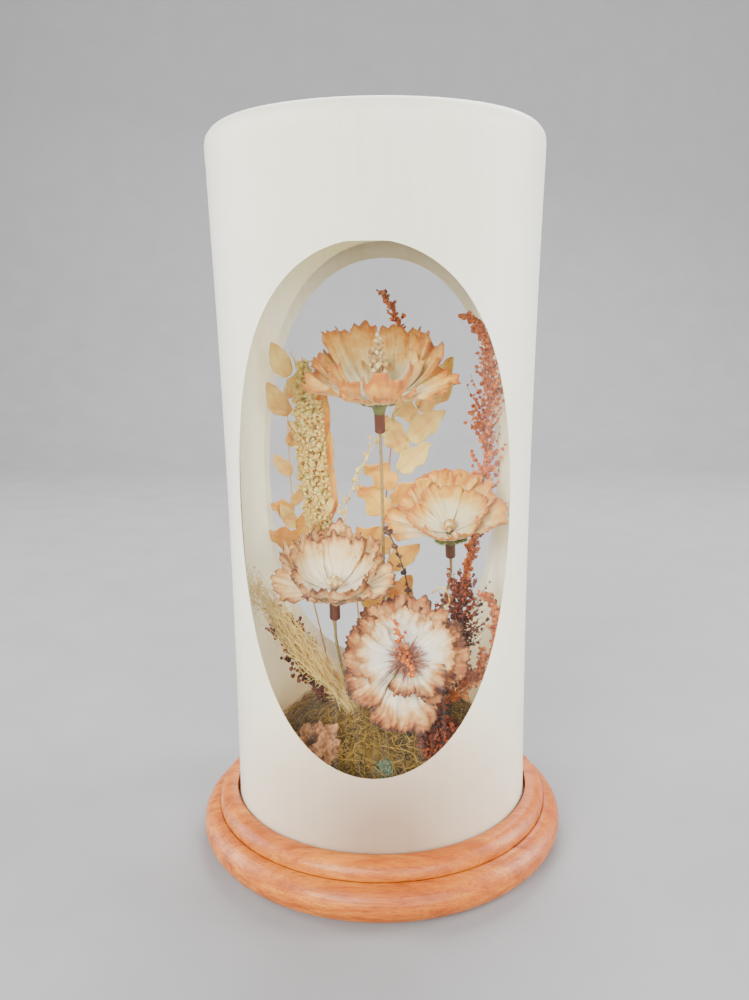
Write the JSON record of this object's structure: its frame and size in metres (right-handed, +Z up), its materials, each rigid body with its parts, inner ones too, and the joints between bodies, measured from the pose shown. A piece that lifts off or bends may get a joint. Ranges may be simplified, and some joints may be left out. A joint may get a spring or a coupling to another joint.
{
  "type": "glass display dome",
  "caption": "Straight-sided frosted glass dome with clear oval windows on a turned two-tier wooden base, over silk and dried flowers; the glass lifts off.",
  "frame": {"origin": "on the axis of the dome, at the underside of the base", "axes": "+Z up along the axis of the glass, -Y out through the front window, +X to the right of someone who looks in through the front window"},
  "size_m": [0.127, 0.127, 0.2394],
  "materials": {
    "turned_wood": "satin varnish over fine grain",
    "felt": "matt felt",
    "frosted_glass": "etched matt outside, with clear oval windows",
    "florist_foam": "matt open foam",
    "moss": "dry fibrous",
    "bark": "dry matt bark",
    "lichen": "dry matt",
    "dark_seed": "dry seeds",
    "silk_petal": "silk with painted brown edges",
    "stamen": "dry buds",
    "green_calyx": "moulded",
    "brown_sleeve": "satin tube",
    "stem_wire": "wire wrapped in paper tape",
    "pale_blossom": "dry tiny blossoms",
    "pale_leaf": "dry thin leaf",
    "amber_leaf": "dry flat leaf",
    "pale_bud": "dry buds",
    "rusty_seed": "dry seed heads",
    "dark_twig": "dry twig",
    "straw": "dry straw"
  },
  "bodies": {
    "base": {"wood_base": "turned_wood", "base_felt": "felt", "foam_block": "florist_foam", "moss_mound": "moss", "bark_piece": "bark", "lichen_tuft": "lichen", "seed_cluster": "dark_seed", "top_flower_outer_petals": "silk_petal", "top_flower_inner_petals": "silk_petal", "top_flower_centre": "stamen", "top_flower_calyx": "green_calyx", "top_flower_sleeve": "brown_sleeve", "top_flower_stem": "stem_wire", "right_flower_outer_petals": "silk_petal", "right_flower_inner_petals": "silk_petal", "right_flower_centre": "stamen", "right_flower_calyx": "green_calyx", "right_flower_sleeve": "brown_sleeve", "right_flower_stem": "stem_wire", "left_flower_outer_petals": "silk_petal", "left_flower_inner_petals": "silk_petal", "left_flower_centre": "stamen", "left_flower_calyx": "green_calyx", "left_flower_sleeve": "brown_sleeve", "left_flower_stem": "stem_wire", "front_flower_outer_petals": "silk_petal", "front_flower_inner_petals": "silk_petal", "front_flower_centre": "stamen", "front_flower_calyx": "green_calyx", "front_flower_sleeve": "brown_sleeve", "front_flower_stem": "stem_wire", "blossom_spike": "pale_blossom", "left_leaf_spray": "pale_leaf", "right_leaf_spray": "amber_leaf", "pale_bud_sprig": "pale_bud", "top_seed_sprig": "rusty_seed", "right_seed_sprig": "rusty_seed", "low_seed_sprig": "rusty_seed", "left_seed_sprig": "rusty_seed", "dark_seed_head": "dark_seed", "budded_twig": "dark_twig", "straw_bundle": "straw", "curled_tendril": "straw", "tucked_seed_sprig": "rusty_seed"},
    "dome": {"glass_dome": "frosted_glass"}
  },
  "joints": [
    {"name": "dome_lift", "type": "slide", "parent": "base", "child": "dome", "axis": [0, 0, 1], "range_m": [0, 0.25]}
  ]
}
